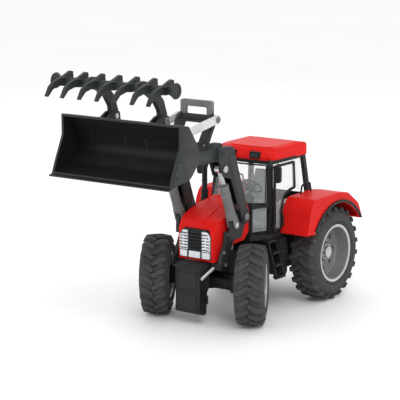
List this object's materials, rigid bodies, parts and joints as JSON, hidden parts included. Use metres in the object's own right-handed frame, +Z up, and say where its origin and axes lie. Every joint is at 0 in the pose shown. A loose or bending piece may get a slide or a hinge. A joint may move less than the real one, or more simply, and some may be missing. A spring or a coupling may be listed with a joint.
{
  "type": "toy tractor with front loader",
  "caption": "Toy farm tractor with an open-backed cab shell, steering front axle, raised front loader, bucket and toothed bale grab.",
  "frame": {"origin": "on the ground under the middle of the whole tractor with its loader raised", "axes": "+X forward from the rear axle to the bucket, +Y to the driver's left, +Z up from the ground"},
  "size_m": [0.4282, 0.1868, 0.2994],
  "materials": {
    "body_red": "gloss moulded",
    "black_plastic": "satin moulded",
    "dark_grey_plastic": "satin moulded",
    "light_grey_plastic": "satin moulded",
    "silver_plastic": "metallic moulded",
    "lamp_plastic": "gloss",
    "tyre": "matte",
    "steel": "drawn",
    "clear_plastic": "clear"
  },
  "bodies": {
    "chassis": {"chassis_frame": "black_plastic", "rear_axle": "steel", "front_support": "black_plastic", "front_coupler": "black_plastic", "rear_hitch": "black_plastic", "engine_block": "light_grey_plastic", "cab_floor": "black_plastic", "cab_frame": "black_plastic", "cab_roof": "body_red", "roof_light_panels": "black_plastic", "windscreen": "clear_plastic", "rear_window": "clear_plastic", "side_windows": "clear_plastic", "interior_tub": "light_grey_plastic", "seat": "light_grey_plastic", "dashboard": "black_plastic", "gear_levers": "black_plastic", "mirrors": "black_plastic", "exhaust": "black_plastic", "grab_rails": "black_plastic", "fenders": "body_red", "fender_trims": "black_plastic", "ladders": "black_plastic", "side_tanks": "black_plastic", "loader_consoles": "dark_grey_plastic", "console_braces": "light_grey_plastic", "pivot_pins_and_screws": "steel"},
    "front_axle": {"front_axle_beam": "black_plastic"},
    "steer_left": {"knuckle_left": "black_plastic"},
    "steer_right": {"knuckle_right": "black_plastic"},
    "steering_link": {"tie_rod": "black_plastic"},
    "wheel_front_left": {"front_rim_left": "silver_plastic", "front_tyre_left": "tyre"},
    "wheel_front_right": {"front_rim_right": "silver_plastic", "front_tyre_right": "tyre"},
    "wheel_rear_left": {"rear_rim_left": "silver_plastic", "rear_tyre_left": "tyre"},
    "wheel_rear_right": {"rear_rim_right": "silver_plastic", "rear_tyre_right": "tyre"},
    "cab_steering": {"steering_wheel": "black_plastic"},
    "hood_group": {"hood": "body_red", "grille": "black_plastic", "nose_lights": "lamp_plastic"},
    "left_door": {"door_left": "black_plastic", "door_pane_left": "clear_plastic"},
    "right_door": {"door_right": "black_plastic", "door_pane_right": "clear_plastic"},
    "loader": {"boom_arms": "dark_grey_plastic", "boom_cross_tube": "dark_grey_plastic", "boom_pins": "steel"},
    "cylinder_barrels": {"lift_barrels": "light_grey_plastic"},
    "cylinder_rods": {"lift_rods": "steel"},
    "crank": {"bell_crank": "dark_grey_plastic", "loop_handle": "light_grey_plastic"},
    "tilt_links": {"tilt_bars": "silver_plastic"},
    "bucket_group": {"bucket": "dark_grey_plastic", "bucket_pins": "steel"},
    "grab": {"grab_frame": "dark_grey_plastic", "grab_tines": "dark_grey_plastic"},
    "hitch_lock": {"hitch_pin": "steel"}
  },
  "joints": [
    {"name": "front_axle_swing", "type": "hinge", "parent": "chassis", "child": "front_axle", "pos_m": [0.0179, 0, 0.047], "axis": [1, 0, 0], "range_deg": [-5, 5]},
    {"name": "steer_left", "type": "hinge", "parent": "front_axle", "child": "steer_left", "pos_m": [0.0179, 0.043, 0.047], "axis": [0, 0, 1], "range_deg": [-58, 2]},
    {"name": "steer_right", "type": "hinge", "parent": "front_axle", "child": "steer_right", "pos_m": [0.0179, -0.043, 0.047], "axis": [0, 0, 1], "range_deg": [-58, 2]},
    {"name": "tie_rod_slide", "type": "slide", "parent": "front_axle", "child": "steering_link", "axis": [0, 1, 0], "range_m": [-0.0006, 0.0137]},
    {"name": "wheel_front_left_spin", "type": "hinge", "parent": "steer_left", "child": "wheel_front_left", "pos_m": [0.00898, 0.05978, 0.047], "axis": [-0.4695, 0.8829, 0], "continuous": true},
    {"name": "wheel_front_right_spin", "type": "hinge", "parent": "steer_right", "child": "wheel_front_right", "pos_m": [0.02682, -0.05978, 0.047], "axis": [-0.4695, 0.8829, 0], "continuous": true},
    {"name": "wheel_rear_left_spin", "type": "hinge", "parent": "chassis", "child": "wheel_rear_left", "pos_m": [-0.1461, 0.062, 0.0575], "axis": [0, 1, 0], "continuous": true},
    {"name": "wheel_rear_right_spin", "type": "hinge", "parent": "chassis", "child": "wheel_rear_right", "pos_m": [-0.1461, -0.062, 0.0575], "axis": [0, 1, 0], "continuous": true},
    {"name": "steering_wheel_turn", "type": "hinge", "parent": "chassis", "child": "cab_steering", "pos_m": [-0.0795, 0, 0.1384], "axis": [-0.6891, 0, 0.7246], "continuous": true},
    {"name": "hood_open", "type": "hinge", "parent": "chassis", "child": "hood_group", "pos_m": [-0.0296, 0, 0.13], "axis": [0, 1, 0], "range_deg": [-50, 0]},
    {"name": "door_left_open", "type": "hinge", "parent": "chassis", "child": "left_door", "pos_m": [-0.0589, 0.0463, 0.0945], "axis": [0.0768, 0.0522, -0.9957], "range_deg": [0, 75]},
    {"name": "door_right_open", "type": "hinge", "parent": "chassis", "child": "right_door", "pos_m": [-0.0589, -0.0463, 0.0945], "axis": [-0.0768, 0.0522, 0.9957], "range_deg": [0, 75]},
    {"name": "loader_lift", "type": "hinge", "parent": "chassis", "child": "loader", "pos_m": [-0.0011, 0, 0.123], "axis": [0, 1, 0], "range_deg": [0, 69]},
    {"name": "lift_barrel_swing", "type": "hinge", "parent": "chassis", "child": "cylinder_barrels", "pos_m": [0.0129, 0, 0.115], "axis": [0, 1, 0], "range_deg": [-0.5, 77.7]},
    {"name": "lift_rod_slide", "type": "slide", "parent": "cylinder_barrels", "child": "cylinder_rods", "axis": [0.3875, 0, 0.9219], "range_m": [-0.0158, 0.0002]},
    {"name": "bucket_tilt", "type": "hinge", "parent": "loader", "child": "bucket_group", "pos_m": [0.1419, 0, 0.2], "axis": [0, 1, 0], "range_deg": [-61, 20]},
    {"name": "crank_swing", "type": "hinge", "parent": "loader", "child": "crank", "pos_m": [0.0509, 0, 0.208], "axis": [0, 1, 0], "range_deg": [-48.4, 16]},
    {"name": "tilt_link_swing", "type": "hinge", "parent": "crank", "child": "tilt_links", "pos_m": [0.0319, 0, 0.237], "axis": [0, 1, 0], "range_deg": [-14.8, 44.8]},
    {"name": "grab_swing", "type": "hinge", "parent": "bucket_group", "child": "grab", "pos_m": [0.1429, 0, 0.25], "axis": [0, 1, 0], "range_deg": [-40, 46]},
    {"name": "hitch_pin_lift", "type": "slide", "parent": "chassis", "child": "hitch_lock", "axis": [0, 0, 1], "range_m": [0, 0.016]}
  ],
  "couplings": [
    {"joint": "steer_right", "follows": "steer_left", "ratio": 1},
    {"joint": "tie_rod_slide", "follows": "steer_left", "m_per_rad": -0.01337},
    {"joint": "lift_barrel_swing", "follows": "loader_lift", "ratio": 1.1188},
    {"joint": "lift_rod_slide", "follows": "loader_lift", "m_per_rad": -0.012954},
    {"joint": "crank_swing", "follows": "bucket_tilt", "ratio": 0.79},
    {"joint": "tilt_link_swing", "follows": "bucket_tilt", "ratio": -0.73}
  ]
}
